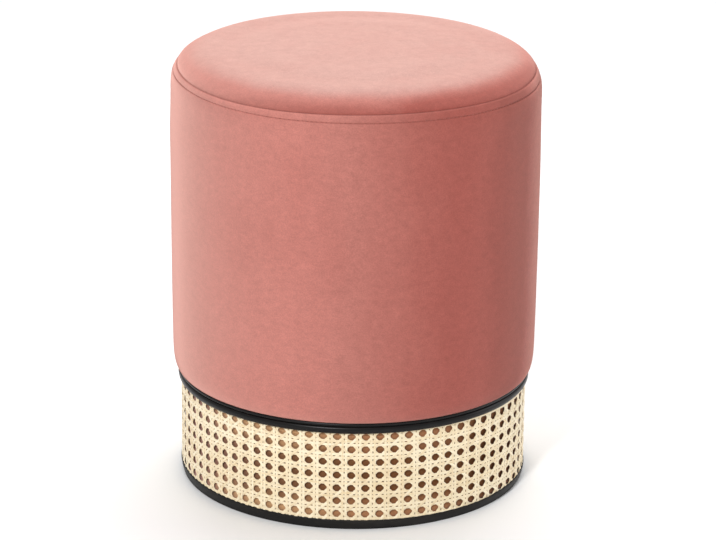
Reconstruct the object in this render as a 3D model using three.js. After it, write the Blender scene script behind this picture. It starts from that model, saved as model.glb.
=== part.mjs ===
// Velvet pouf: a round padded seat on a velvet-covered base that is wrapped in woven cane.
// Millimetres, +Z up. The origin is on the floor under the middle, and the front faces -Y.

import * as THREE from 'three';
import * as BufferGeometryUtils from 'three/addons/utils/BufferGeometryUtils.js';

// Driving dimensions
const gap = 0.3;               // left between pieces that touch
const bodySteps = 72;          // flats round the padded body
const baseSteps = 96;          // flats round everything in the base
const edgeRound = 1.5;         // softening of small edges

const body = {
  foot: 103.2,                 // height of the flat underside
  radius: 169.4,               // the widest place, just under the shoulder
  shoulderStart: 365.9,        // height where the side starts to turn in
  shoulderRise: 38.2,          // height of the rounded shoulder
  shoulderReach: 37.9,         // how far in the shoulder comes
  fullness: 0.9,               // below 1 the shoulder is squarer than a quarter ellipse
  crownRise: 3.7,              // the seat is this much higher in the middle
};

// Where the two sewn lines lie on the shoulder: 0 is its foot and 1 its top
const stitchTurn = 0.206;      // top stitching through the turned-down seam allowance
const seamTurn = 0.361;        // the seam between the round top panel and the side panel
const lineHalf = 0.02;         // half the width of a sewn line, in the same measure
const stitchDepth = 0.9;       // how far the top stitching pulls the velvet in
const seamDepth = 1.5;         // how deep the seam itself is
const allowanceRise = 0.8;     // the folded seam allowance lifts the strip between the lines

// Hand-sewn unevenness
const seamLean = 1.4;          // the seam is this much higher on the left than in the middle
const seamWander = 0.5;
const bodyWander = 0.4;        // the padded side is this far out of round

const base = {
  radius: 158.9,               // where the cane lies on the drum
  waist: 154.2,                // the drum's velvet is drawn in behind the middle of the cane
};

const trim = { height: 9.1, inner: 157.2, top: 161.6, foot: 160.4 };

const cane = {
  inner: 159.25,
  outer: 161.0,
  columns: 48,
  rows: 4,
  openShare: 0.53,             // a hole's width as a share of its repeat
  cornerShare: 0.29,           // how much of each side of the hole its cut corners take
};

const piping = { foot: 92.8, height: 10.1, inner: 156.5, outer: 163.6 };

// The piping's outer face, a rounded bead, from its foot to its top
const beadSections = [
  { share: 0, drawnIn: 2.9 },
  { share: 0.16, drawnIn: 1.0 },
  { share: 0.5, drawnIn: 0 },
  { share: 0.82, drawnIn: 0.6 },
  { share: 1, drawnIn: 2.4 },
];

const caneBottom = trim.height + gap;
const caneTop = piping.foot - gap;
const pipingTop = piping.foot + piping.height;

const velvet = () => new THREE.MeshStandardMaterial({ color: 0xc87a70, roughness: 0.85, metalness: 0 });
const baseVelvet = () => new THREE.MeshStandardMaterial({ color: 0xb56a5e, roughness: 0.9, metalness: 0 });
const wovenCane = () => new THREE.MeshStandardMaterial({ color: 0xf0dcb0, roughness: 0.55, metalness: 0 });
const blackEdging = () => new THREE.MeshStandardMaterial({ color: 0x2a2826, roughness: 0.35, metalness: 0 });

const pouf = new THREE.Group();

function addPiece(name, geometry, material) {
  const mesh = new THREE.Mesh(geometry, material);
  mesh.name = name;
  pouf.add(mesh);
}

// A body of revolution from [radius, height] pairs, standing on +Z.
// It starts at the front, so all rings of one step count have their corners in line.
function turned(profile, steps) {
  const points = profile.map(([radius, height]) => new THREE.Vector2(radius, height));
  const geometry = new THREE.LatheGeometry(points, steps);
  geometry.rotateX(Math.PI / 2);
  return geometry;
}

// A closed ring of revolution: its section is given once round, without repeating the first point.
function turnedRing(section, steps) {
  return turned([...section, section[0]], steps);
}

// Padded body

const crownRadius = body.radius - body.shoulderReach;
const crownEdge = body.shoulderStart + body.shoulderRise;

// A point on the shoulder's curve, moved out along the curve's normal by lift.
function shoulderPoint(turn, lift = 0) {
  const angle = turn * Math.PI / 2;
  const across = Math.cos(angle) ** body.fullness;
  const up = Math.sin(angle) ** body.fullness;
  return [
    crownRadius + body.shoulderReach * across + lift * Math.cos(angle),
    body.shoulderStart + body.shoulderRise * up + lift * Math.sin(angle),
  ];
}

const [seamRadius, seamHeight] = shoulderPoint(seamTurn, -seamDepth);

// The side panel from its turned-under lower edge up to the shoulder
const sideSections = [
  { above: 0, drawnIn: 8.1 },
  { above: 1.6, drawnIn: 6.0 },
  { above: 8, drawnIn: 4.1 },
  { above: 15, drawnIn: 2.6 },
  { above: 26, drawnIn: 1.5 },
  { above: 106, drawnIn: 0.7 },
  { above: 196, drawnIn: 0.3 },
];

function sidePanelProfile() {
  const lower = sideSections.map(({ above, drawnIn }) => [body.radius - drawnIn, body.foot + above]);
  return [
    [0, body.foot],
    ...lower,
    shoulderPoint(0),
    shoulderPoint(stitchTurn / 2),
    shoulderPoint(stitchTurn - lineHalf),
    shoulderPoint(stitchTurn, -stitchDepth),
    shoulderPoint(stitchTurn + lineHalf, allowanceRise),
    shoulderPoint(seamTurn - lineHalf, allowanceRise),
    [seamRadius, seamHeight - gap / 2],
    [0, seamHeight - gap / 2],
  ];
}

function topPanelProfile() {
  const shoulder = [0, 0.2, 0.4, 0.6, 0.8, 1].map((share) => {
    const from = seamTurn + lineHalf;
    return shoulderPoint(from + (1 - from) * share);
  });
  const crown = [0.7, 0.35].map((share) => [
    crownRadius * share,
    crownEdge + body.crownRise * (1 - share ** 2),
  ]);
  return [
    [0, seamHeight + gap / 2],
    [seamRadius, seamHeight + gap / 2],
    ...shoulder,
    ...crown,
    [0, crownEdge + body.crownRise],
  ];
}

// Leans and wavers the seam and the padded side, alike on both panels, so the gap between them stays.
function unevenByHand(geometry) {
  const position = geometry.attributes.position;
  for (let i = 0; i < position.count; i++) {
    const x = position.getX(i);
    const y = position.getY(i);
    const z = position.getZ(i);
    const radius = Math.hypot(x, y);
    const turn = Math.atan2(x, -y);
    const nearSeam = THREE.MathUtils.smoothstep(z, body.shoulderStart - 60, seamHeight);
    const seamLift = seamWander * Math.sin(3 * turn + 0.8) - seamLean * Math.sin(turn);
    const offFoot = THREE.MathUtils.smoothstep(z, body.foot + 2, body.foot + 60);
    const swell = bodyWander * (0.6 * Math.sin(2 * turn + 0.5) + 0.4 * Math.sin(4 * turn + z / 90));
    const stretch = 1 + swell * offFoot / body.radius;
    position.setXYZ(i, x * stretch, y * stretch, z + seamLift * nearSeam * radius / seamRadius);
  }
  return geometry;
}

addPiece('top_panel', unevenByHand(turned(topPanelProfile(), bodySteps)), velvet());
addPiece('side_panel', unevenByHand(turned(sidePanelProfile(), bodySteps)), velvet());

// Base drum, covered in the same velvet and seen through the cane

function drumProfile() {
  const trimSeat = trim.inner - gap;
  const pipingSeat = piping.inner - gap;
  const rise = caneTop - caneBottom;
  const waistSections = [
    { share: 0.09, drawnIn: 0.2 },
    { share: 0.24, drawnIn: 0.8 },
    { share: 0.5, drawnIn: 1 },
    { share: 0.76, drawnIn: 0.8 },
    { share: 0.91, drawnIn: 0.2 },
  ].map(({ share, drawnIn }) => [
    base.radius - (base.radius - base.waist) * drawnIn,
    caneBottom + rise * share,
  ]);
  return [
    [0, 0],
    [trimSeat, 0],
    [trimSeat, caneBottom],
    [base.radius, caneBottom],
    ...waistSections,
    [base.radius, caneTop],
    [pipingSeat, caneTop],
    [pipingSeat, body.foot - gap],
    [0, body.foot - gap],
  ];
}

addPiece('base_drum', turned(drumProfile(), baseSteps), baseVelvet());

// Cane band

// One repeat of the weave, drawn flat: a patch with an eight-sided hole in it.
function canePatch(width, height) {
  const [halfWidth, halfHeight] = [width / 2, height / 2];
  const outline = [
    [-halfWidth, -halfHeight],
    [0, -halfHeight],
    [halfWidth, -halfHeight],
    [halfWidth, halfHeight],
    [0, halfHeight],
    [-halfWidth, halfHeight],
  ].map(([x, y]) => new THREE.Vector2(x, y));
  const [holeX, holeY] = [halfWidth * cane.openShare, halfHeight * cane.openShare];
  const [flatX, flatY] = [holeX * (1 - 2 * cane.cornerShare), holeY * (1 - 2 * cane.cornerShare)];
  const hole = [
    [flatX, -holeY],
    [holeX, -flatY],
    [holeX, flatY],
    [flatX, holeY],
    [-flatX, holeY],
    [-holeX, flatY],
    [-holeX, -flatY],
    [-flatX, -holeY],
  ].map(([x, y]) => new THREE.Vector2(x, y));
  return { outline, hole, faces: THREE.ShapeUtils.triangulateShape(outline, [hole]) };
}

// The patches are bent round the base side by side, with an inner and an outer face and a wall in
// each hole, and closed along the band's two edges.
function caneBandGeometry() {
  const patchTurn = 2 * Math.PI / cane.columns;
  const patchWidth = patchTurn * cane.outer;
  const patchHeight = (caneTop - caneBottom) / cane.rows;
  const { outline, hole, faces } = canePatch(patchWidth, patchHeight);
  const flat = [...outline, ...hole];
  const positions = [];
  const index = [];

  for (let column = 0; column < cane.columns; column++) {
    for (let row = 0; row < cane.rows; row++) {
      const outside = positions.length / 3;
      const inside = outside + flat.length;
      for (const radius of [cane.outer, cane.inner]) {
        for (const point of flat) {
          const turn = (column + point.x / patchWidth) * patchTurn;
          const height = caneBottom + (row + 0.5) * patchHeight + point.y;
          positions.push(radius * Math.sin(turn), -radius * Math.cos(turn), height);
        }
      }
      for (const [a, b, c] of faces) {
        index.push(outside + a, outside + b, outside + c);
        index.push(inside + a, inside + c, inside + b);
      }
      for (let k = 0; k < hole.length; k++) {
        const from = outline.length + k;
        const to = outline.length + (k + 1) % hole.length;
        index.push(outside + from, outside + to, inside + to);
        index.push(outside + from, inside + to, inside + from);
      }
      const edges = [];
      if (row === 0) edges.push([0, 1], [1, 2]);
      if (row === cane.rows - 1) edges.push([3, 4], [4, 5]);
      for (const [from, to] of edges) {
        index.push(inside + from, inside + to, outside + to);
        index.push(inside + from, outside + to, outside + from);
      }
    }
  }

  const geometry = new THREE.BufferGeometry();
  geometry.setAttribute('position', new THREE.Float32BufferAttribute(positions, 3));
  geometry.setIndex(index);
  return BufferGeometryUtils.mergeVertices(geometry, 1e-3);
}

addPiece('cane_band', caneBandGeometry(), wovenCane());

// Black edging

// A rounded bead, squeezed between the padded body and the cane.
addPiece('piping', turnedRing([
  [piping.inner, piping.foot],
  ...beadSections.map(({ share, drawnIn }) => [
    piping.outer - drawnIn,
    piping.foot + piping.height * share,
  ]),
  [piping.inner, pipingTop],
], baseSteps), blackEdging());

// A flat strip round the foot, slightly narrower at the floor.
addPiece('lower_trim', turnedRing([
  [trim.inner, 0],
  [trim.foot - edgeRound, 0],
  [trim.foot, edgeRound],
  [trim.top, trim.height - edgeRound],
  [trim.top - edgeRound, trim.height],
  [trim.inner, trim.height],
], baseSteps), blackEdging());

export default pouf;
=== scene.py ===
# Velvet pouf: a padded velvet seat on a velvet-covered drum that is wrapped in woven cane.
# Blender works in metres. Lengths in the dictionaries are in millimetres where no note says metres.
# The front faces -Y.

import math
import random

import bpy
from mathutils import Matrix, Vector


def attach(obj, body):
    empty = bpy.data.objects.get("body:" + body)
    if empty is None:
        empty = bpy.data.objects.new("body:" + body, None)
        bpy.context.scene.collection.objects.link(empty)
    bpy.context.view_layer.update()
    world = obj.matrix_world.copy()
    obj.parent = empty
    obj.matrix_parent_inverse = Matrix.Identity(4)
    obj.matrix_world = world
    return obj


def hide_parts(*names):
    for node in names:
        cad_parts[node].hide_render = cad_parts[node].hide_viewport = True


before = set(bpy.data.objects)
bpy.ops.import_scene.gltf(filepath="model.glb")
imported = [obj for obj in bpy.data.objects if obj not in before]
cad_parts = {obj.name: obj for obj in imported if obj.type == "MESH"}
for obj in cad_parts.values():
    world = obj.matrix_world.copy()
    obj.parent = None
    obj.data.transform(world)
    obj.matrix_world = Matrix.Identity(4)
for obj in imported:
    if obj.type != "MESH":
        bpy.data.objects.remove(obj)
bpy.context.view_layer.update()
scene = bpy.context.scene
mm = 0.001


# Modelling helpers

def deselectAll():
    if bpy.context.mode != "OBJECT":
        bpy.ops.object.mode_set(mode="OBJECT")
    bpy.ops.object.select_all(action="DESELECT")


def pickOnly(piece):
    deselectAll()
    piece.select_set(True)
    bpy.context.view_layer.objects.active = piece


# Leaves the piece in edit mode with its wanted vertices or faces selected.
def selectWhere(piece, kind, wanted):
    pickOnly(piece)
    bpy.ops.object.mode_set(mode="EDIT")
    bpy.ops.mesh.select_mode(type=kind)
    bpy.ops.mesh.select_all(action="DESELECT")
    bpy.ops.object.mode_set(mode="OBJECT")
    parts = piece.data.vertices if kind == "VERT" else piece.data.polygons
    for part in parts:
        part.select = wanted(part)
    bpy.ops.object.mode_set(mode="EDIT")


def applyPlace():
    bpy.ops.object.transform_apply(location=True, rotation=True, scale=True)


def extrudeTo(lift, scale, height):
    bpy.ops.mesh.extrude_region_move(TRANSFORM_OT_translate={"value": (0, 0, lift)})
    bpy.ops.transform.resize(value=(scale, scale, 1), center_override=(0, 0, height))


# Extrudes a circle from ring to ring through (radius, height) pairs. A radius of 0 is a pole, which
# closes that end, and a closed section runs back into its first ring.
def turnPiece(name, profile, steps, closedSection=False):
    rings = [(radius * mm, height * mm) for radius, height in profile if radius > 0]
    if closedSection:
        rings.append(rings[0])
    deselectAll()
    radius, height = rings[0]
    bpy.ops.mesh.primitive_circle_add(vertices=steps, radius=radius, location=(0, 0, height))
    piece = bpy.context.object
    piece.name = name
    applyPlace()
    bpy.ops.object.mode_set(mode="EDIT")
    bpy.ops.mesh.select_mode(type="VERT")
    bpy.ops.mesh.select_all(action="SELECT")
    for (lastRadius, lastHeight), (radius, height) in zip(rings, rings[1:]):
        extrudeTo(height - lastHeight, radius / lastRadius, height)
    if profile[-1][0] == 0:
        lift = profile[-1][1] * mm - rings[-1][1]
        extrudeTo(lift, 0.5, rings[-1][1] + lift)
        bpy.ops.mesh.merge(type="CENTER")
    if profile[0][0] == 0:
        selectWhere(piece, "VERT", lambda vertex: vertex.index < steps)
        lift = profile[0][1] * mm - rings[0][1]
        extrudeTo(lift, 0.5, rings[0][1] + lift)
        bpy.ops.mesh.merge(type="CENTER")
    bpy.ops.mesh.select_all(action="SELECT")
    bpy.ops.mesh.remove_doubles(threshold=1e-6)
    bpy.ops.mesh.normals_make_consistent(inside=False)
    bpy.ops.object.mode_set(mode="OBJECT")
    bpy.ops.object.shade_smooth()
    return piece


def applyModifiers(piece):
    pickOnly(piece)
    for modifier in list(piece.modifiers):
        bpy.ops.object.modifier_apply(modifier=modifier.name)


def smoothstep(low, high, value):
    share = min(1, max(0, (value - low) / (high - low)))
    return share * share * (3 - 2 * share)


def turnOf(point):
    return math.atan2(point.x, -point.y)


def radiusOf(point):
    return math.hypot(point.x, point.y) / mm


# Camera and light: level studio light, the photograph's own angle

cameraPlace = {
    "place": (0, -2.791, 1.134),     # metres
    "focalLength": 159.8,            # for a 36 mm wide sensor
    "pitchDown": 18.648,             # degrees
    "pan": 0.068,
    "roll": 0.6,
}

studio = {
    "worldStrength": 0.52,
    "keyPlace": (-0.85, -2.35, 2.0),    # places and sizes in metres, powers in watts
    "keySize": 0.35,
    "keyPower": 47,
    "topPlace": (0.1, 1.1, 2.6),
    "topSize": 2.0,
    "topPower": 55,
    "sidePlace": (2.2, 0.3, 0.8),
    "sideSize": 1.2,
    "sidePower": 10,
    "aimHeight": 0.2,
    "floorSize": 14,
}

bpy.ops.object.camera_add()
camera = bpy.context.object
camera.name = "camera"
camera.data.lens = cameraPlace["focalLength"]
camera.data.sensor_width = 36
camera.matrix_world = (
    Matrix.Translation(cameraPlace["place"])
    @ Matrix.Rotation(-math.radians(cameraPlace["pan"]), 4, "Z")
    @ Matrix.Rotation(math.radians(90 - cameraPlace["pitchDown"]), 4, "X")
    @ Matrix.Rotation(math.radians(cameraPlace["roll"]), 4, "Z")
)
scene.camera = camera
scene.view_settings.view_transform = "Standard"

world = bpy.data.worlds.new("studioWorld")
world.use_nodes = True
world.node_tree.nodes["Background"].inputs["Color"].default_value = (1, 1, 1, 1)
world.node_tree.nodes["Background"].inputs["Strength"].default_value = studio["worldStrength"]
scene.world = world


def addAreaLight(name, place, size, power):
    bpy.ops.object.light_add(type="AREA", location=place)
    light = bpy.context.object
    light.name = name
    light.data.size = size
    light.data.energy = power
    aim = Vector((0, 0, studio["aimHeight"])) - light.location
    light.rotation_euler = aim.to_track_quat("-Z", "Y").to_euler()


for side in ("key", "top", "side"):
    place, size, power = (studio[side + word] for word in ("Place", "Size", "Power"))
    addAreaLight(side + "Light", place, size, power)

deselectAll()
bpy.ops.mesh.primitive_plane_add(size=studio["floorSize"], location=(0, 0, 0))
floor = bpy.context.object
floor.name = "floor"
print("camera, lights and floor set")


# Material helpers

def newMaterial(name):
    material = bpy.data.materials.new(name)
    material.use_nodes = True
    return material


def shaderOf(material):
    return material.node_tree.nodes["Principled BSDF"]


# An input is given by its name, or by its number as "at0".
def setInput(material, node, name, value):
    numbered = name.startswith("at") and name[2:].isdigit()
    socket = node.inputs[int(name[2:]) if numbered else name]
    if isinstance(value, bpy.types.NodeSocket):
        material.node_tree.links.new(value, socket)
    else:
        socket.default_value = value


def setShader(material, **values):
    for name, value in values.items():
        setInput(material, shaderOf(material), name.replace("_", " "), value)


def addNode(material, kind, settings=None, **links):
    node = material.node_tree.nodes.new(kind)
    for name, value in (settings or {}).items():
        setattr(node, name, value)
    for name, value in links.items():
        setInput(material, node, name.replace("_", " "), value)
    return node


def objectCoords(material):
    return addNode(material, "ShaderNodeTexCoord").outputs["Object"]


def scaled(material, vector, scale):
    return addNode(material, "ShaderNodeMapping", Vector=vector, Scale=scale).outputs["Vector"]


def noiseOf(material, vector, scale, detail=2, roughness=0.5, distortion=0):
    node = addNode(
        material, "ShaderNodeTexNoise", Vector=vector, Scale=scale, Detail=detail,
        Roughness=roughness, Distortion=distortion,
    )
    return node.outputs["Fac"]


def calc(material, operation, first, second=0.0):
    node = addNode(material, "ShaderNodeMath", {"operation": operation}, at0=first, at1=second)
    return node.outputs["Value"]


def attributeOf(material, name):
    return addNode(material, "ShaderNodeAttribute", {"attribute_name": name}).outputs["Fac"]


def plus(material, first, second):
    return calc(material, "ADD", first, second)


def times(material, first, second):
    return calc(material, "MULTIPLY", first, second)


def larger(material, first, second):
    return calc(material, "MAXIMUM", first, second)


def sizeOf(material, value):
    return calc(material, "ABSOLUTE", value)


# Runs smoothly from toLow to toHigh as the value goes from low to high.
def between(material, value, low, high, toLow=0.0, toHigh=1.0):
    node = addNode(
        material, "ShaderNodeMapRange", {"interpolation_type": "SMOOTHSTEP"}, Value=value,
        From_Min=low, From_Max=high, To_Min=toLow, To_Max=toHigh,
    )
    return node.outputs["Result"]


def mixed(material, share, first, second, blend="MIX"):
    node = addNode(material, "ShaderNodeMix", {"data_type": "RGBA", "blend_type": blend})
    setInput(material, node, "at0", share)
    setInput(material, node, "at6", first)
    setInput(material, node, "at7", second)
    return node.outputs[2]


def addBump(material, height, strength, distance, normal=None):
    node = addNode(material, "ShaderNodeBump", Height=height, Strength=strength, Distance=distance)
    if normal:
        setInput(material, node, "Normal", normal)
    setShader(material, Normal=node.outputs["Normal"])


def vectorCalc(material, operation, first, second):
    node = addNode(material, "ShaderNodeVectorMath", {"operation": operation}, at0=first, at1=second)
    return node.outputs["Vector"]


def dress(piece, material):
    piece.data.materials.clear()
    piece.data.materials.append(material)


def finishPiece(piece, slot, *nodes):
    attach(piece, "root")
    if nodes:
        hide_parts(*nodes)


floorMaterial = newMaterial("paleFloor")
setShader(floorMaterial, Base_Color=(0.9, 0.9, 0.9, 1), Roughness=0.9)
dress(floor, floorMaterial)


# Velvet: a short dense pile, lighter where it is seen along the surface, with painted sheen and shade
# in bands standing for the pile's lean as seen from the front

velvetLook = {
    "withNap": (0.445, 0.158, 0.130, 1),
    # painted shade, also the dark tone of the random mottling
    "shadeAndMottle": (0.325, 0.076, 0.060, 1),
    # painted sheen
    "paintedSheen": (0.535, 0.190, 0.157, 1),
    # deeper painted shade
    "deepShade": (0.265, 0.056, 0.043, 1),
    # painted sheen, paler and greyer on the crown
    "crown": (0.46, 0.27, 0.235, 1),
    "behindCane": (0.42, 0.19, 0.085, 1),      # the drum's velvet seen through the cane: browned as painted light bounced off the cane in the middle, painted light towards the left, and painted shadow where it is deep
    "behindCaneLit": (0.64, 0.39, 0.18, 1),
    "behindCaneShadow": (0.15, 0.052, 0.009, 1),
    "thread": (0.30, 0.085, 0.068, 1),
    "threadShade": (0.225, 0.06375, 0.051, 1),
    # painted shade in the creases where the sewn lines press the pile down
    "pressedAndShaded": (0.20, 0.040, 0.030, 1),
    "sheen": 0.65,
    "sheenRoughness": 0.6,
    "sheenTint": (1.0, 0.58, 0.50, 1),
    "pileLean": 0.45,            # the pile leans round the pouf by this slope
    "fuzz": 0.3,                 # pale tips that show where the surface turns away
    "fuzzRoughness": 0.5,
    "fuzzIor": 1.3,
    "roughness": 0.88,
    "pileScale": 900,            # repeats in a metre
    "napScale": 7,
    "streakScale": (60, 60, 14),
    "grainScale": (120, 120, 190),
    "rippleScale": (30, 30, 16),
    "mottle": 0.25,              # the most that the mottling shows
    "wobble": 0.035,             # how far the bands of nap wander, in metres
    "pileBump": (0.25, 0.0006),  # its strength, and its depth in metres
}

# Where the painted sheen and shade lie. A band round the side has four turns, in degrees from the
# front: it comes in, is full, starts to fade and has faded. The other pairs run from none to full, in
# metres.
sheenAndShadeBands = {
    # painted sheen
    "paintedSheen": (-66, -43, -21, 3),
    # painted shade on the left edge
    "leftEdge": (-120, -85, -74, -57),
    "leftEdgeShare": 0.85,
    # painted shade on the right of the front
    "shadeShare": (-10, 36, 62, 80),
    # deeper painted shade
    "deep": (40, 53, 60, 69),
    "turnWobble": 6.0,                 # radians for a metre of wobble
    "heightWobble": 0.08,              # shares of the wobble
    "raggedWobble": 0.09,
    "crown": (0.3970, 0.4055),         # heights of the painted sheen on the crown
    "frontRight": (0.77, -0.64),       # the way across the top in which "Along" is measured
    "shoulderShadeAlong": (0.112, 0.142),    # the painted shade patch above the seam at the front right
    "shoulderShadeHeight": (0.3925, 0.4045),
    "shoulderShadeShare": 1.15,
    "nearSeamAlong": (-0.04, 0.09),    # the painted shade along the seam, slight on the left and plain on the right
    "nearSeamShares": (0.15, 0.8),     # slight on the left and plain on the right
    "nearSeamHeight": (0.389, 0.400),
    # painted light on the left, fading towards the middle
    "drumToMiddle": (-0.11, 0.03),
    "drumAside": (0.09, 0.13),         # how far from the middle each side darkens with painted shadow, where the middle lies this far to the left the height half way up the cane, and how far from there the band of painted shadow fades
    "drumShift": 0.015,                # where the middle lies this far to the left
    "drumHalfway": 0.05,               # the height half way up the cane,
    "drumOffHalfway": (0.014, 0.036),  # and how far from there the dark band fades
    "drumHalfwayShare": 0.85,
}


def bandRound(material, turn, low, full, start, end):
    comesIn = between(material, turn, low, full)
    return times(material, comesIn, between(material, turn, start, end, 1.0, 0.0))


# The side panel's painted sheen and shade: painted sheen lighter on its left, painted shade on the
# right of its front, deeper further right, and on its left edge
def sideSheenAndShade(material, place, wobble, mottle):
    look, bands = velvetLook, sheenAndShadeBands
    turn = calc(material, "ARCTAN2", place.outputs["X"], times(material, place.outputs["Y"], -1.0))
    turn = plus(material, turn, times(material, wobble, bands["turnWobble"]))
    turn = times(material, turn, 180 / math.pi)
    paintedSheen = bandRound(material, turn, *bands["paintedSheen"])
    leftEdge = times(material, bandRound(material, turn, *bands["leftEdge"]), bands["leftEdgeShare"])
    shadeShare = larger(material, bandRound(material, turn, *bands["shadeShare"]), leftEdge)
    deep = bandRound(material, turn, *bands["deep"])
    colour = mixed(material, paintedSheen, look["withNap"], look["paintedSheen"])
    colour = mixed(material, larger(material, shadeShare, mottle), colour, look["shadeAndMottle"])
    return mixed(material, deep, colour, look["deepShade"])


# The top panel's painted sheen and shade: painted sheen palest on the crown, and painted shade above
# the seam at the front right and along the seam
def topSheenAndShade(material, place, wobble, mottle):
    look, bands = velvetLook, sheenAndShadeBands
    rightward, backward = bands["frontRight"]
    height = plus(material, place.outputs["Z"], times(material, wobble, bands["heightWobble"]))
    ragged = plus(material, height, times(material, wobble, bands["raggedWobble"]))
    along = plus(material, times(material, place.outputs["X"], rightward), wobble)
    along = plus(material, along, times(material, place.outputs["Y"], backward))
    shoulderShade = between(material, ragged, *bands["shoulderShadeHeight"], bands["shoulderShadeShare"], 0.0)
    shoulderShade = times(material, between(material, along, *bands["shoulderShadeAlong"]), shoulderShade)
    seamShare = between(material, along, *bands["nearSeamAlong"], *bands["nearSeamShares"])
    nearSeam = between(material, height, *bands["nearSeamHeight"], seamShare, 0.0)
    # Painted shade on the shoulder at the front right and along the seam, with the random mottling
    shadeShare = larger(material, larger(material, shoulderShade, nearSeam), mottle)
    colour = mixed(material, between(material, height, *bands["crown"]), look["withNap"], look["crown"])
    return mixed(material, shadeShare, colour, look["shadeAndMottle"])


# The base drum seen through the cane, with painted light towards the left and painted shadow towards
# both sides and half way up
def drumShade(material, place, wobble, mottle):
    look, bands = velvetLook, sheenAndShadeBands
    across = plus(material, place.outputs["X"], wobble)
    toMiddle = between(material, across, *bands["drumToMiddle"])
    offMiddle = sizeOf(material, plus(material, across, bands["drumShift"]))
    aside = between(material, offMiddle, *bands["drumAside"])
    height = plus(material, place.outputs["Z"], wobble)
    offHalfway = sizeOf(material, calc(material, "SUBTRACT", height, bands["drumHalfway"]))
    halfway = between(material, offHalfway, *bands["drumOffHalfway"], bands["drumHalfwayShare"], 0.0)
    colour = mixed(material, toMiddle, look["behindCaneLit"], look["behindCane"])
    # Painted shadow towards both sides and half way up, with the random mottling
    deep = larger(material, larger(material, aside, halfway), mottle)
    return mixed(material, deep, colour, look["behindCaneShadow"])


# The thread has no nap and is only mottled.
def threadNap(material, place, wobble, mottle):
    return mixed(material, mottle, velvetLook["thread"], velvetLook["threadShade"])


def makeVelvet(name, nap):
    look = velvetLook
    material = newMaterial(name)
    coords = objectCoords(material)
    place = addNode(material, "ShaderNodeSeparateXYZ", Vector=coords)
    cloud = noiseOf(material, coords, look["napScale"], 3, 0.55, 0.6)
    streak = noiseOf(material, scaled(material, coords, look["streakScale"]), 1, 3, 0.6)
    pile = noiseOf(material, coords, look["pileScale"], 2, 0.6)
    grain = noiseOf(material, scaled(material, coords, look["grainScale"]), 1, 5, 0.78)
    ripple = noiseOf(material, scaled(material, coords, look["rippleScale"]), 1, 4, 0.65)
    mottle = plus(material, times(material, cloud, 0.7), times(material, streak, 0.3))
    mottle = between(material, mottle, 0.35, 0.75, 0.0, look["mottle"])
    wobble = times(material, calc(material, "SUBTRACT", ripple, 0.5), look["wobble"])
    # Painted sheen and shade, and the random mottling, come from the given function.
    colour = nap(material, place, wobble, mottle)
    pressedAndShaded = attributeOf(material, "pressedAndShaded")
    # Painted shade darkens the creases along the sewn lines.
    colour = mixed(material, pressedAndShaded, colour, look["pressedAndShaded"])
    grainTone = addNode(
        material, "ShaderNodeMapRange", Value=grain,
        From_Min=0.3, From_Max=0.7, To_Min=0.88, To_Max=1.12,
    )
    pileTone = between(material, pile, 0.3, 0.7, 0.9, 1.08)
    speck = times(material, pileTone, grainTone.outputs["Result"])
    standing = calc(material, "SUBTRACT", 1.0, pressedAndShaded)
    setShader(
        material, Base_Color=mixed(material, 1.0, colour, speck, "MULTIPLY"),
        Sheen_Weight=times(material, standing, look["sheen"]),
        Coat_Weight=times(material, standing, look["fuzz"]),
        Roughness=look["roughness"], Sheen_Roughness=look["sheenRoughness"],
        Sheen_Tint=look["sheenTint"], Specular_IOR_Level=0.05,
        Coat_Roughness=look["fuzzRoughness"], Coat_IOR=look["fuzzIor"],
    )
    # The pile leans to one side all the way round, so one side of the pouf is lighter than the other.
    surface = addNode(material, "ShaderNodeNewGeometry").outputs["Normal"]
    around = vectorCalc(material, "CROSS_PRODUCT", surface, (0, 0, 1))
    around = vectorCalc(material, "MULTIPLY", around, (look["pileLean"],) * 3)
    leaning = vectorCalc(material, "ADD", surface, around)
    leaning = vectorCalc(material, "NORMALIZE", leaning, (0, 0, 0))
    height = plus(material, pile, times(material, cloud, 0.4))
    addBump(material, height, *look["pileBump"], leaning)
    return material


sideVelvet = makeVelvet("sideVelvet", sideSheenAndShade)
topVelvet = makeVelvet("topVelvet", topSheenAndShade)
baseVelvet = makeVelvet("baseVelvet", drumShade)
threadMaterial = makeVelvet("pinkThread", threadNap)


# Padded body: top panel and side panel over one simulated padding

body = {
    "foot": 103.2,               # height of the flat underside
    "radius": 169.9,
    "shoulderStart": 365.9,
    "shoulderRise": 38.5,
    "shoulderReach": 37.9,
    "fullness": 0.9,             # below 1 the shoulder is squarer than a quarter ellipse
    "crownRise": 3.7,
    "taper": 1.9,                # the side stands this much further out at the top
    "taperHeight": 110,
    "tuck": 4.6,                 # the velvet is drawn in this much over the base
    "tuckHeight": 5.8,
    "droop": 0.6,                # its lower edge hangs this much over the piping,
    "droopLean": 0.3,            # and a little more on the right
    "wander": 0.4,               # out of round
    "lean": 0.5,                 # its upper part stands this much further left,
    "leanHeights": (290, 350),   # coming in between these heights
    "overPiping": (159.8, 163),  # the droop sets in between these radii
    "steps": 384,
    "rowHeight": 7,
}

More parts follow.
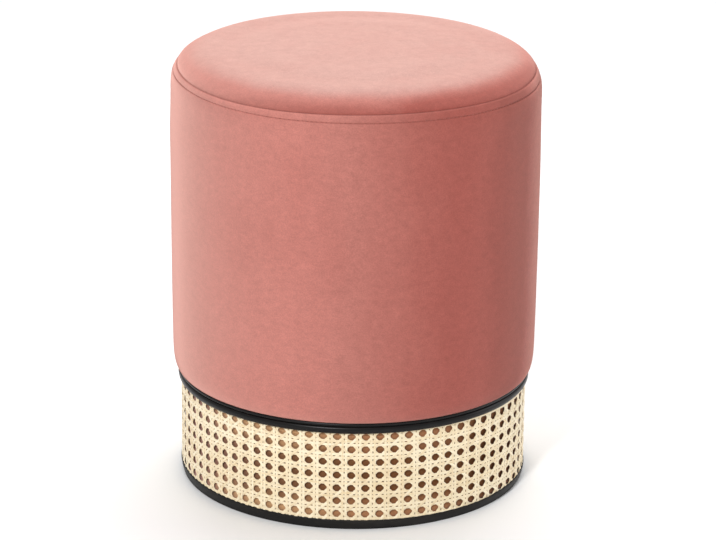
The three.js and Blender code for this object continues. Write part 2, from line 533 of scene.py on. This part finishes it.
# Where the sewn lines lie on the shoulder: 0 is its foot and 1 its top
sewing = {
    "stitchTurn": 0.226,
    "seamTurn": 0.361,
    "stitchDepth": 0.65,
    "seamDepth": 0.6,
    "allowanceRise": 0.3,
    "gap": 0.12,
    # How far each line strays up or down: level, lean, saddle, twist, and two waves in three
    "seamWaves": (0.6, -0.8, -1.6, 0.3, 0.4, 1.0),
    "stitchWaves": (1.3, -1.4, -1.6, -0.7, 0.8, 0.8),
    "strayFades": (60, 13),      # from this far below the stitches to this far above the seam
    "seamLean": 0.62,            # a line that climbs the shoulder leans in by this share
    "stitchLean": 0.3,
    "pressedCore": 0.3,          # the pile is pressed down, with painted crease shade, this close to a line, and stands again this far from it
    "pressedWidth": 0.9,         # and stands again this far from it
    "seamPressed": 0.28,
    "stitchPressed": 0.2,
}

crownRadius = body["radius"] - body["shoulderReach"]
crownEdge = body["shoulderStart"] + body["shoulderRise"]


def shoulderPoint(turn, lift=0.0):
    angle = turn * math.pi / 2
    across = math.cos(angle) ** body["fullness"] if turn < 1 else 0
    up = math.sin(angle) ** body["fullness"] if turn > 0 else 0
    return (
        crownRadius + body["shoulderReach"] * across + lift * math.cos(angle),
        body["shoulderStart"] + body["shoulderRise"] * up + lift * math.sin(angle),
    )


def sideRadius(height):
    above = height - body["foot"]
    taper = body["taper"] * math.exp(-above / body["taperHeight"])
    tuck = body["tuck"] * math.exp(-above / body["tuckHeight"])
    return body["radius"] - taper - tuck


def crownPoint(share):
    return (crownRadius * share, crownEdge + body["crownRise"] * (1 - share ** 2) ** 1.5)


seamRadius, seamHeight = shoulderPoint(sewing["seamTurn"], -sewing["seamDepth"])


def strayOf(waves, turn):
    level, lean, saddle, twist, third, otherThird = waves
    return (
        level + lean * math.sin(turn) + saddle * math.cos(2 * turn) + twist * math.sin(2 * turn)
        + third * math.sin(3 * turn) + otherThird * math.cos(3 * turn)
    )


# Lets the two sewn lines stray and the padded side waver, as on a hand-sewn cover.
def unevenByHand(piece):
    stitchHeight = shoulderPoint(sewing["stitchTurn"])[1]
    foot = body["foot"]
    fadeBelow, fadeAbove = sewing["strayFades"]
    for vertex in piece.data.vertices:
        point = vertex.co
        height = point.z / mm
        radius = radiusOf(point)
        turn = turnOf(point)
        across = radius / seamRadius
        nearSeam = smoothstep(stitchHeight - 2, seamHeight - 1, height)
        nearStitch = smoothstep(stitchHeight - fadeBelow, stitchHeight - 1, height) - nearSeam
        nearSeam *= across * (1 - smoothstep(seamHeight + 1, seamHeight + fadeAbove, height))
        seamLift = nearSeam * strayOf(sewing["seamWaves"], turn)
        stitchLift = max(0, nearStitch) * across * strayOf(sewing["stitchWaves"], turn)
        overPiping = smoothstep(*body["overPiping"], radius) * (1 - smoothstep(foot, foot + 25, height))
        footLift = -overPiping * (body["droop"] + body["droopLean"] * math.sin(turn))
        point.z += (seamLift + stitchLift + footLift) * mm
        # The side wavers a little, and a sewn line that climbs the shoulder leans in with it.
        swell = 0.6 * math.sin(2 * turn + 0.5) + 0.4 * math.sin(4 * turn + height / 90)
        swell = body["wander"] * swell * smoothstep(foot + 2, foot + 60, height)
        leanIn = sewing["seamLean"] * seamLift + sewing["stitchLean"] * stitchLift
        stretch = 1 + (swell - leanIn) / body["radius"]
        point.x = point.x * stretch - body["lean"] * smoothstep(*body["leanHeights"], height) * mm
        point.y *= stretch


# Marks the pile that the two sewn lines press down; the mark lowers the sheen there and paints crease
# shade.
def markPressedAndShaded(piece):
    marks = piece.data.attributes.new("pressedAndShaded", "FLOAT", "POINT").data
    lines = (
        (shoulderPoint(sewing["stitchTurn"], -sewing["stitchDepth"] / 2), sewing["stitchPressed"]),
        (shoulderPoint(sewing["seamTurn"], -sewing["seamDepth"] / 2), sewing["seamPressed"]),
    )
    for vertex, mark in zip(piece.data.vertices, marks):
        for (lineRadius, lineHeight), share in lines:
            away = math.hypot(radiusOf(vertex.co) - lineRadius, vertex.co.z / mm - lineHeight)
            offLine = smoothstep(sewing["pressedCore"], sewing["pressedWidth"], away)
            mark.value = max(mark.value, share * (1 - offLine))


padding = {
    "steps": 136,
    "rowHeight": 7.5,
    "sideInset": 0.2,            # the padding starts this much smaller at the side,
    "insetFully": 26,            # at this distance from a sewn line,
    "crownInset": 5.0,           # and this much lower on the crown
    "mostMove": 5.0,             # a point moves no further than this
    "pressure": 9,
    "frames": 20,
    "heldWithin": 7,             # the cover is held this close to a sewn line,
    "shoulderHeld": 0.9,         # and nearly as firmly by the moulded shoulder
    "holdingForce": 12,
    "unevenness": 0.06,          # the cover starts this uneven
    "coverMass": 0.3,
    "coverStiffness": 18,
    "coverBending": 0.6,
    "quality": 6,
    "followFrom": 3.5,           # a panel follows the padding from this far off a sewn line,
    "followFully": 12,           # and altogether from here on
    "seed": 4,
}


# How far a height is from the nearer sewn line
def offSewn(height):
    return min(abs(height - shoulderPoint(sewing[line])[1]) for line in ("stitchTurn", "seamTurn"))


def paddingLift(height):
    inset = smoothstep(padding["heldWithin"] * 0.4, padding["insetFully"], offSewn(height))
    return -padding["sideInset"] * inset * smoothstep(0, 30, height - body["foot"])


def paddingProfile():
    points = [(0, body["foot"]), (80, body["foot"]), (150, body["foot"]), (158, body["foot"])]
    height = body["foot"] + 1
    while height < body["shoulderStart"] - 1:
        points.append((sideRadius(height) + paddingLift(height), height))
        height += padding["rowHeight"]
    points += [shoulderPoint(k / 11, paddingLift(shoulderPoint(k / 11)[1])) for k in range(12)]
    for k in range(1, 19):
        radius, height = crownPoint(1 - k / 19)
        points.append((radius, height - padding["crownInset"] * smoothstep(0, 0.5, k / 19)))
    return points + [(0, crownPoint(0)[1] - padding["crownInset"])]


# How firmly the cover is held at a point of the padding, from 0 to 1
def heldShare(radius, height):
    if height < body["foot"] + 3:
        return 1
    sewn = 1 - smoothstep(padding["heldWithin"] * 0.3, padding["heldWithin"], offSewn(height))
    shoulder = smoothstep(body["shoulderStart"] - 30, body["shoulderStart"], height)
    shoulder *= smoothstep(crownRadius - 30, crownRadius, radius)
    return max(sewn, shoulder * padding["shoulderHeld"])


# The cover is blown up from inside like a tight cushion and held along its sewn lines and its foot.
def simulatePadding():
    form = turnPiece("paddingForm", paddingProfile(), padding["steps"])
    unevenByHand(form)
    draws = random.Random(padding["seed"])
    held = form.vertex_groups.new(name="held")
    for vertex in form.data.vertices:
        share = heldShare(radiusOf(vertex.co), vertex.co.z / mm)
        if share > 0:
            held.add([vertex.index], share, "REPLACE")
        vertex.co += vertex.normal * draws.uniform(-padding["unevenness"], padding["unevenness"]) * mm
    restPoints = [vertex.co.copy() for vertex in form.data.vertices]
    cloth = form.modifiers.new("cover", "CLOTH")
    cloth.settings.quality = padding["quality"]
    cloth.settings.mass = padding["coverMass"]
    cloth.settings.tension_stiffness = padding["coverStiffness"]
    cloth.settings.compression_stiffness = padding["coverStiffness"]
    cloth.settings.bending_stiffness = padding["coverBending"]
    cloth.settings.use_pressure = True
    cloth.settings.uniform_pressure_force = padding["pressure"]
    cloth.settings.vertex_group_mass = "held"
    cloth.settings.pin_stiffness = padding["holdingForce"]
    cloth.settings.effector_weights.gravity = 0
    for frameNumber in range(1, padding["frames"] + 1):
        scene.frame_set(frameNumber)
    applyModifiers(form)
    scene.frame_set(1)
    furthest = 0
    for vertex, rest in zip(form.data.vertices, restPoints):
        move = vertex.co - rest
        furthest = max(furthest, move.length)
        if move.length > padding["mostMove"] * mm:
            vertex.co = rest + move.normalized() * padding["mostMove"] * mm
    form.modifiers.new("soften", "SUBSURF").levels = 2
    applyModifiers(form)
    print("padding moved up to %.2f mm before the cap" % (furthest / mm))
    return form


def sidePanelProfile():
    foot = body["foot"]
    points = [
        (0, foot + 0.2), (120, foot + 0.2), (158, foot + 0.2), (160.8, foot),
        (162.2, foot + 0.2), (163.1, foot + 0.65), (163.8, foot + 1.2), (164.4, foot + 1.8),
    ]
    heights = [foot + above for above in (2.6, 3.6, 5, 7, 9.5, 12.5, 16, 20.5, 26)]
    while heights[-1] + body["rowHeight"] < body["shoulderStart"]:
        heights.append(heights[-1] + body["rowHeight"])
    points += [(sideRadius(height), height) for height in heights]
    stitch, seam = sewing["stitchTurn"], sewing["seamTurn"]
    rise = sewing["allowanceRise"]
    depth = sewing["stitchDepth"]
    turns = [
        (0, 0), (0.05, 0), (0.1, 0.05), (0.14, 0.12), (stitch - 0.04, 0.15), (stitch - 0.024, 0.1),
        (stitch - 0.014, -0.15), (stitch - 0.006, -depth * 0.75), (stitch, -depth),
        (stitch + 0.006, -depth * 0.7), (stitch + 0.014, 0.1), (stitch + 0.024, rise * 0.75),
        (stitch + 0.04, rise), (stitch + 0.07, rise * 1.1), (seam - 0.055, rise * 1.05),
        (seam - 0.035, rise * 0.9), (seam - 0.02, rise * 0.45), (seam - 0.01, -0.3),
        (seam - 0.004, -sewing["seamDepth"] * 0.7),
    ]
    points += [shoulderPoint(turn, lift) for turn, lift in turns]
    under = seamHeight - sewing["gap"] / 2
    points += [(seamRadius, under), (seamRadius - 3, under - 0.2)]
    return points + [(120, under - 0.2), (0, under - 0.2)]


def topPanelProfile():
    over = seamHeight + sewing["gap"] / 2
    seam = sewing["seamTurn"]
    points = [(0, over + 0.2), (120, over + 0.2), (seamRadius - 3, over + 0.2), (seamRadius, over)]
    turns = [
        (seam + 0.004, -sewing["seamDepth"] * 0.7), (seam + 0.01, -0.55), (seam + 0.02, -0.1),
        (seam + 0.035, 0.1), (seam + 0.055, 0.15), (seam + 0.08, 0.1), (seam + 0.11, 0.05),
    ]
    points += [shoulderPoint(turn, lift) for turn, lift in turns]
    first = seam + 0.15
    points += [shoulderPoint(first + (1 - first) * k / 14) for k in range(15)]
    return points + [crownPoint(1 - k / 24) for k in range(1, 24)] + [crownPoint(0)]


# The panel follows the simulated padding away from its sewn lines and its turned-in edges.
def followPadding(piece, form):
    follows = piece.vertex_groups.new(name="follows")
    for vertex in piece.data.vertices:
        height = vertex.co.z / mm
        inner = abs(height - seamHeight) < 5 and radiusOf(vertex.co) < seamRadius - 1
        share = smoothstep(padding["followFrom"], padding["followFully"], offSewn(height))
        share *= smoothstep(2, 30, height - body["foot"])
        if not inner and share > 0:
            follows.add([vertex.index], share, "REPLACE")
    wrap = piece.modifiers.new("wrap", "SHRINKWRAP")
    wrap.target = form
    wrap.vertex_group = "follows"
    applyModifiers(piece)
    piece.vertex_groups.clear()


sidePanel = turnPiece("sidePanel", sidePanelProfile(), body["steps"])
topPanel = turnPiece("topPanel", topPanelProfile(), body["steps"])
for panel in (sidePanel, topPanel):
    markPressedAndShaded(panel)
    unevenByHand(panel)
paddingForm = simulatePadding()
for panel in (sidePanel, topPanel):
    followPadding(panel, paddingForm)
bpy.data.objects.remove(paddingForm)
dress(sidePanel, sideVelvet)
dress(topPanel, topVelvet)
finishPiece(sidePanel, "velvet", "side_panel")
finishPiece(topPanel, "velvet", "top_panel")
print("padded body made")


# Top stitches: short threads sunk in the lower sewn line

stitches = {
    "count": 250,
    "length": 3.2,
    "thickness": 0.55,
    "sunk": 0.5,                 # below the shoulder's surface
    "mostTilt": 0.05,            # radians
    "seed": 11,
}


def makeStitches():
    draws = random.Random(stitches["seed"])
    radius, height = shoulderPoint(sewing["stitchTurn"], -stitches["sunk"])
    deselectAll()
    bpy.ops.mesh.primitive_uv_sphere_add(segments=6, ring_count=4, radius=0.5 * mm)
    thread = bpy.context.object
    thread.name = "topStitches"
    bpy.ops.object.mode_set(mode="EDIT")
    bpy.ops.mesh.select_all(action="SELECT")
    bpy.ops.transform.resize(value=(stitches["length"], stitches["thickness"], stitches["thickness"]))
    bpy.ops.object.mode_set(mode="OBJECT")
    threads = [thread]
    while len(threads) < stitches["count"]:
        pickOnly(thread)
        bpy.ops.object.duplicate()
        threads.append(bpy.context.object)
    for k, copy in enumerate(threads):
        turn = 2 * math.pi * k / stitches["count"]
        copy.matrix_world = (
            Matrix.Rotation(turn, 4, "Z")
            @ Matrix.Translation((0, -radius * mm, height * mm))
            @ Matrix.Rotation(draws.uniform(-stitches["mostTilt"], stitches["mostTilt"]), 4, "Y")
        )
    pickOnly(thread)
    for copy in threads:
        copy.select_set(True)
    bpy.ops.object.join()
    applyPlace()
    bpy.ops.object.shade_smooth()
    unevenByHand(thread)
    return thread


topStitches = makeStitches()
dress(topStitches, threadMaterial)
finishPiece(topStitches, "velvet")
print("top stitches sewn")


# Base drum, covered in the same velvet and seen through the cane

baseDrum = {
    "radius": 158.9,             # where the cane lies on it
    "waist": 157.4,
    "trimSeat": 156.9,
    "pipingSeat": 156.2,
    "caneFoot": 9.4,
    "caneTop": 92.5,
    "top": 102.9,
    "steps": 192,
}


def drumProfile():
    low, high = baseDrum["caneFoot"], baseDrum["caneTop"]
    full, pipingSeat, top = baseDrum["radius"], baseDrum["pipingSeat"], baseDrum["top"]
    points = [(0, 0.4), (110, 0.4), (150, 0.4), (154.5, 0), (156.4, 0.3), (baseDrum["trimSeat"], 1.2)]
    points += [(baseDrum["trimSeat"], low - 0.6), (full - 0.5, low - 0.1)]
    for k in range(17):
        share = k / 16
        hollow = math.sin(math.pi * share) ** 0.55 if 0 < share < 1 else 0
        radius = full - (full - baseDrum["waist"]) * hollow
        points.append((radius, low + 0.3 + (high - low - 0.6) * share))
    points += [(full - 0.5, high + 0.1), (pipingSeat, high + 0.2), (pipingSeat, top)]
    return points + [(120, top), (0, top)]


drum = turnPiece("baseDrum", drumProfile(), baseDrum["steps"])
dress(drum, baseVelvet)
finishPiece(drum, "base_velvet", "base_drum")
print("base drum made")


# Cane: upright and level pairs of strands woven over and under each other, and two slanting
# families that cross between every two holes

cane = {
    "columns": 75,               # repeats round the base
    "columnTurn": 4.587,         # degrees to a repeat where the cane isn't stretched
    # Stretched by so many degrees between these turns, and drawn together again at the back
    "rightStretches": ((0.55, 8, 28), (0.65, 26, 46), (10.8, 30, 115), (1, 68, 84), (-1, 115, 170)),
    "leftStretches": ((4, 50, 110), (3.5, 62, 95), (-3.525, 110, 170)),
    "levelPairs": 8,
    "repeatHeight": 12.36,
    "firstPair": 8.4,            # height of the lowest pair of level strands
    "pairTurn": 2.03,            # degrees from the front to an upright pair
    "bottom": 9.4,
    "top": 92.5,
    "strandWidth": 2.5,
    "slantWidth": 2.55,
    "pairSpread": 1.62,          # from a pair's middle to the middle of each strand
    "thickness": 0.38,
    "middleRadius": 160.35,
    "pairLift": 0.2,             # how far a strand of a pair rises and dips
    "slantLift": 0.38,
    "waver": 0.1,
    "cut": (0.083, 1.012),       # the strip of webbing as it is cut, in metres
    "skewWaves": (-0.2, -1.5, 1.1, -0.9, 0.6, -0.2),    # how far the rows stray, as for the seams
    "darkStrand": (0.80, 0.62, 0.36, 1),
    "paleStrand": (0.93, 0.80, 0.56, 1),
    "fibreColour": (0.97, 0.88, 0.68, 1),
    "blotchColour": (0.66, 0.45, 0.22, 1),
    "fibreScale": (45, 2600, 1),
    "blotchScale": 60,
    "seed": 7,
}
caneRepeat = 2 * math.pi * cane["middleRadius"] / cane["columns"]

# (share of a repeat, how far out a strand lies there, from -1 to 1)
pairLevels = [(-0.5, 0), (-0.25, 0.1), (-0.19, 1), (-0.07, 1), (0.07, -1), (0.19, -1), (0.25, -0.1)]
slantLevels = [(0, -1), (0.19, -1), (0.25, 0), (0.31, 1), (0.5, 1), (0.69, 1), (0.75, 0), (0.81, -1)]


# Runs the levels of one repeat on from low to high, which are in repeats.
def levelsAlong(levels, low, high, sign):
    path = []
    for k in range(math.floor(low) - 1, math.ceil(high) + 2):
        path += [(k + share, sign * level) for share, level in levels]
    inside = [step for step in path if low + 0.01 < step[0] < high - 0.01]
    before = max(step for step in path if step[0] <= low + 0.01)
    after = min(step for step in path if step[0] >= high - 0.01)
    return [(low, before[1])] + inside + [(high, after[1])]


# A flat strand, standing up along Z with its domed face to -Y, extruded from step to step. The path
# has (x, outward lift, z) in millimetres.
def makeStrand(name, width, path):
    thickness = cane["thickness"] * mm
    section = [(-0.5, 0.5), (-0.43, -0.25), (0, -0.5), (0.43, -0.25), (0.5, 0.5)]
    deselectAll()
    bpy.ops.mesh.primitive_circle_add(vertices=5, radius=mm, fill_type="NGON")
    strand = bpy.context.object
    strand.name = name
    startX, startLift, startZ = path[0]
    for vertex, (across, depth) in zip(strand.data.vertices, section):
        vertex.co = (
            startX * mm + across * width * mm,
            depth * thickness - startLift * mm,
            startZ * mm,
        )
    bpy.ops.object.mode_set(mode="EDIT")
    bpy.ops.mesh.select_mode(type="FACE")
    bpy.ops.mesh.select_all(action="SELECT")
    for (lastX, lastLift, lastZ), (x, lift, z) in zip(path, path[1:]):
        step = ((x - lastX) * mm, (lastLift - lift) * mm, (z - lastZ) * mm)
        bpy.ops.mesh.extrude_region_move(TRANSFORM_OT_translate={"value": step})
    bpy.ops.mesh.select_all(action="SELECT")
    bpy.ops.mesh.normals_make_consistent(inside=False)
    bpy.ops.object.mode_set(mode="OBJECT")
    return strand


# The strand's own map: along it in metres, and across it.
def mapStrand(strand, alongAxis, acrossAxis, lean=0.0):
    uvLayer = strand.data.uv_layers.new(name="strandMap")
    for loop in strand.data.loops:
        point = strand.data.vertices[loop.vertex_index].co
        uvLayer.data[loop.index].uv = (point[alongAxis], point[acrossAxis] - lean * point[alongAxis])


# Bends a flat strand round the base: its x becomes the way round.
def bendRound(strand):
    xs = [vertex.co.x for vertex in strand.data.vertices]
    bend = strand.modifiers.new("bend", "SIMPLE_DEFORM")
    bend.deform_method = "BEND"
    bend.deform_axis = "Z"
    bend.angle = (max(xs) - min(xs)) / (cane["middleRadius"] * mm)
    applyModifiers(strand)
    strand.location = (0, -cane["middleRadius"] * mm, 0)
    applyPlace()


def joinPieces(pieces):
    pickOnly(pieces[0])
    for piece in pieces:
        piece.select_set(True)
    bpy.ops.object.join()
    return pieces[0]


# Copies a strand round the base, once for each column.
def repeatRound(strand):
    bpy.ops.object.empty_add(rotation=(0, 0, 2 * math.pi / cane["columns"]))
    turner = bpy.context.object
    array = strand.modifiers.new("repeat", "ARRAY")
    array.count = cane["columns"]
    array.use_relative_offset = False
    array.use_object_offset = True
    array.offset_object = turner
    applyModifiers(strand)
    bpy.data.objects.remove(turner)


def turnStrand(strand, degrees):
    strand.rotation_euler = (0, 0, math.radians(degrees))
    pickOnly(strand)
    applyPlace()


# Gives every strand its own tint, and slides it a little up or aside, as in hand-woven cane.
def tintStrands(piece, verticesEach, slideUp):
    draws = random.Random(cane["seed"])
    tint = piece.data.attributes.new("strandTint", "FLOAT", "POINT")
    count = len(piece.data.vertices) // verticesEach
    values = []
    for k in range(count):
        shade = draws.random()
        slide = draws.uniform(-1, 1) * cane["waver"] * mm
        for vertex in piece.data.vertices[k * verticesEach:(k + 1) * verticesEach]:
            values.append(shade)
            if slideUp:
                vertex.co.z += slide
            else:
                turn = turnOf(vertex.co)
                vertex.co.x += slide * math.cos(turn)
                vertex.co.y += slide * math.sin(turn)
    tint.data.foreach_set("value", values)


# The webbing is pulled wider towards both sides and wrapped a little askew. Strands that end at an
# edge keep their ends there.
def stretchCane(piece, endsAtEdges):
    share = cane["columns"] * cane["columnTurn"] / 360
    for vertex in piece.data.vertices:
        radius = math.hypot(vertex.co.x, vertex.co.y)
        plain = math.degrees(turnOf(vertex.co)) * share
        turn = plain
        for most, low, high in cane["rightStretches"]:
            turn += most * smoothstep(low, high, plain)
        for most, low, high in cane["leftStretches"]:
            turn -= most * smoothstep(low, high, -plain)
        vertex.co.x = radius * math.sin(math.radians(turn))
        vertex.co.y = -radius * math.cos(math.radians(turn))
        lift = strayOf(cane["skewWaves"], math.radians(turn)) * mm
        if endsAtEdges:
            height = vertex.co.z / mm
            lift *= smoothstep(cane["bottom"], cane["bottom"] + 3, height)
            lift *= 1 - smoothstep(cane["top"] - 3, cane["top"], height)
        vertex.co.z += lift


def upDownSpan():
    low = (cane["bottom"] - cane["firstPair"]) / cane["repeatHeight"]
    high = (cane["top"] - cane["firstPair"]) / cane["repeatHeight"]
    return low, high


def makeUprights():
    strands = []
    for side in (-1, 1):
        path = []
        for share, level in levelsAlong(pairLevels, *upDownSpan(), -side):
            height = cane["firstPair"] + share * cane["repeatHeight"]
            path.append((side * cane["pairSpread"], level * cane["pairLift"], height))
        strands.append(makeStrand("caneUprights", cane["strandWidth"], path))
    verticesEach = len(strands[0].data.vertices)
    for strand in strands:
        mapStrand(strand, 2, 0)
    strand = joinPieces(strands)
    bendRound(strand)
    turnStrand(strand, cane["pairTurn"])
    repeatRound(strand)
    tintStrands(strand, verticesEach, False)
    return strand


def makeSlants(name, lean):
    path = []
    for share, level in levelsAlong(slantLevels, *upDownSpan(), -lean):
        height = cane["firstPair"] + share * cane["repeatHeight"]
        path.append((lean * share * caneRepeat, level * cane["slantLift"], height))
    strand = makeStrand(name, cane["slantWidth"] * math.sqrt(2), path)
    verticesEach = len(strand.data.vertices)
    mapStrand(strand, 2, 0, lean)
    bendRound(strand)
    turnStrand(strand, cane["pairTurn"] + 180 / cane["columns"])
    repeatRound(strand)
    tintStrands(strand, verticesEach, False)
    return strand


# One repeat is copied along a flat strip, bent into a hoop, and the hoop is copied up the base.
def makeHoops():
    pair = []
    for side in (-1, 1):
        steps = levelsAlong(pairLevels, -0.5, 0.5, side)
        path = [(0, level * cane["pairLift"], share * caneRepeat) for share, level in steps]
        hoop = makeStrand("caneHoops", cane["strandWidth"], path)
        selectWhere(hoop, "FACE", lambda face: len(face.vertices) == 5)    # its two ends
        bpy.ops.mesh.delete(type="ONLY_FACE")
        bpy.ops.mesh.select_all(action="SELECT")
        bpy.ops.transform.rotate(value=math.pi / 2, orient_axis="Y", center_override=(0, 0, 0))
        bpy.ops.object.mode_set(mode="OBJECT")
        array = hoop.modifiers.new("repeat", "ARRAY")
        array.count = cane["columns"]
        array.use_relative_offset = False
        array.use_constant_offset = True
        array.constant_offset_displace = (caneRepeat * mm, 0, 0)
        array.use_merge_vertices = True
        array.merge_threshold = 1e-5
        applyModifiers(hoop)
        mapStrand(hoop, 0, 2)
        bendRound(hoop)
        selectWhere(hoop, "VERT", lambda vertex: True)
        bpy.ops.mesh.remove_doubles(threshold=1e-5)
        bpy.ops.mesh.normals_make_consistent(inside=False)
        bpy.ops.object.mode_set(mode="OBJECT")
        turnStrand(hoop, cane["pairTurn"])
        pair.append(hoop)
    verticesEach = len(pair[0].data.vertices)
    hoops = []
    for k in range(cane["levelPairs"]):
        for side, master in zip((-1, 1), pair):
            height = cane["firstPair"] + k * cane["repeatHeight"] + side * cane["pairSpread"]
            # A strand just over the top edge is kept, because the webbing lies askew and it shows.
            if not cane["bottom"] < height < cane["top"] + 1:
                continue
            pickOnly(master)
            bpy.ops.object.duplicate()
            copy = bpy.context.object
            copy.location = (0, 0, height * mm)
            applyPlace()
            hoops.append(copy)
    for master in pair:
        bpy.data.objects.remove(master)
    hoop = joinPieces(hoops)
    hoop.name = "caneHoops"
    tintStrands(hoop, verticesEach, True)
    return hoop


def makeCaneMaterial():
    material = newMaterial("naturalCane")
    along = addNode(material, "ShaderNodeUVMap", {"uv_map": "strandMap"}).outputs["UV"]
    tint = attributeOf(material, "strandTint")
    shift = addNode(material, "ShaderNodeCombineXYZ", X=tint, Z=tint).outputs["Vector"]
    shifted = vectorCalc(material, "ADD", along, shift)
    fibre = noiseOf(material, scaled(material, shifted, cane["fibreScale"]), 1, 3, 0.6)
    blotch = noiseOf(material, objectCoords(material), cane["blotchScale"], 2, 0.5)
    colour = mixed(material, between(material, tint, 0, 1), cane["darkStrand"], cane["paleStrand"])
    colour = mixed(material, between(material, fibre, 0.35, 0.75), colour, cane["fibreColour"])
    colour = mixed(material, between(material, blotch, 0.62, 0.8, 0, 0.4), colour, cane["blotchColour"])
    setShader(material, Base_Color=colour, Roughness=0.42, Specular_IOR_Level=0.45)
    addBump(material, fibre, 0.35, 0.0002)
    return material


caneMaterial = makeCaneMaterial()
hoops = makeHoops()
uprights = makeUprights()
slants = joinPieces([makeSlants("caneSlants", -1), makeSlants("caneRightSlants", 1)])
stretchCane(hoops, False)
stretchCane(uprights, True)
stretchCane(slants, True)
squareWeave = joinPieces([hoops, uprights])
squareWeave.name = "caneSquareWeave"
for piece in (squareWeave, slants):
    pickOnly(piece)
    bpy.ops.object.shade_smooth_by_angle(angle=math.radians(50))
    dress(piece, caneMaterial)
    finishPiece(piece, "cane", "cane_band")
print("cane woven")


# Black edging: a double-ridged piping over the cane and a flat strip round the foot

edging = {
    "pipingFoot": 92.8,
    "pipingTop": 102.9,
    "pipingInner": 156.5,
    "upperBead": 162.8,          # outer radius of the narrow upper ridge
    "lowerBead": 163.6,          # and of the wide lower one
    "groove": 160.9,
    "lowerMiddle": 3.3,          # above the piping's foot
    "lowerHalf": 3.3,            # half of its height
    "lowerSquareness": 0.75,     # below 1 a ridge is squarer than a half round
    "upperMiddle": 8.3,
    "upperHalf": 1.7,
    "upperSquareness": 0.8,
    "trimHeight": 9.1,
    "trimInner": 157.2,
    "trimTop": 161.5,
    "trimFoot": 159.5,
    "trimWaves": (0.5, -1.0, -0.4, 0, 0, 0),    # how far its upper edge strays, as for the seams
    "pipingColour": (0.006, 0.0055, 0.0055, 1),
    "pipingRoughness": 0.26,
    "pipingScuffed": (0.0132, 0.0121, 0.0121, 1),
    "trimColour": (0.009, 0.008, 0.0075, 1),
    "trimRoughness": 0.42,
    "trimScuffed": (0.0198, 0.0176, 0.0165, 1),
    "steps": 288,
}


# One ridge of the piping, from the groove out and back again, going up
def ridgePoints(which, first, steps):
    groove, bead = edging["groove"], edging[which + "Bead"]
    middle, half = edging["pipingFoot"] + edging[which + "Middle"], edging[which + "Half"]
    points = []
    for k in range(first, steps + 1):
        angle = math.pi * k / steps
        out = (bead - groove) * math.sin(angle) ** edging[which + "Squareness"]
        points.append((groove + out, middle - half * math.cos(angle)))
    return points


def pipingProfile():
    inner, foot, top = edging["pipingInner"], edging["pipingFoot"], edging["pipingTop"]
    return [(inner, top), (inner, foot)] + ridgePoints("lower", 0, 12) + ridgePoints("upper", 1, 9)


def trimProfile():
    inner, height = edging["trimInner"], edging["trimHeight"]
    foot, top = edging["trimFoot"], edging["trimTop"]
    return [
        (inner, height), (inner, 0), (foot - 1, 0), (foot - 0.35, 0.12), (foot, 0.6),
        (foot + 0.06, 1.4), (top - 0.35, height - 3.6), (top - 0.08, height - 1.5),
        (top - 0.1, height - 0.7), (top - 0.4, height - 0.2), (top - 1, height),
    ]


def makeEdgingMaterial(name, colour, scuffed, roughness):
    material = newMaterial(name)
    coords = objectCoords(material)
    grain = noiseOf(material, coords, 1400, 2, 0.6)
    scuff = noiseOf(material, scaled(material, coords, (18, 18, 60)), 1, 3, 0.6)
    setShader(
        material, Base_Color=mixed(material, between(material, scuff, 0.4, 0.8), colour, scuffed),
        Roughness=plus(material, times(material, scuff, 0.16), roughness), Specular_IOR_Level=0.2,
    )
    addBump(material, grain, 0.3, 0.00015)
    return material


piping = turnPiece("pipingBead", pipingProfile(), edging["steps"], True)
trim = turnPiece("footTrim", trimProfile(), edging["steps"], True)
for vertex in trim.data.vertices:
    upper = smoothstep(0, edging["trimHeight"], vertex.co.z / mm)
    vertex.co.z += upper * strayOf(edging["trimWaves"], turnOf(vertex.co)) * mm
for piece in (piping, trim):
    pickOnly(piece)
    bpy.ops.object.shade_smooth_by_angle(angle=math.radians(60))
for piece, name, part in ((piping, "blackPiping", "piping"), (trim, "blackTrim", "trim")):
    colour, scuffed, roughness = (edging[part + word] for word in ("Colour", "Scuffed", "Roughness"))
    dress(piece, makeEdgingMaterial(name, colour, scuffed, roughness))
finishPiece(piping, "black_edging", "piping")
finishPiece(trim, "black_edging", "lower_trim")
print("black edging made")
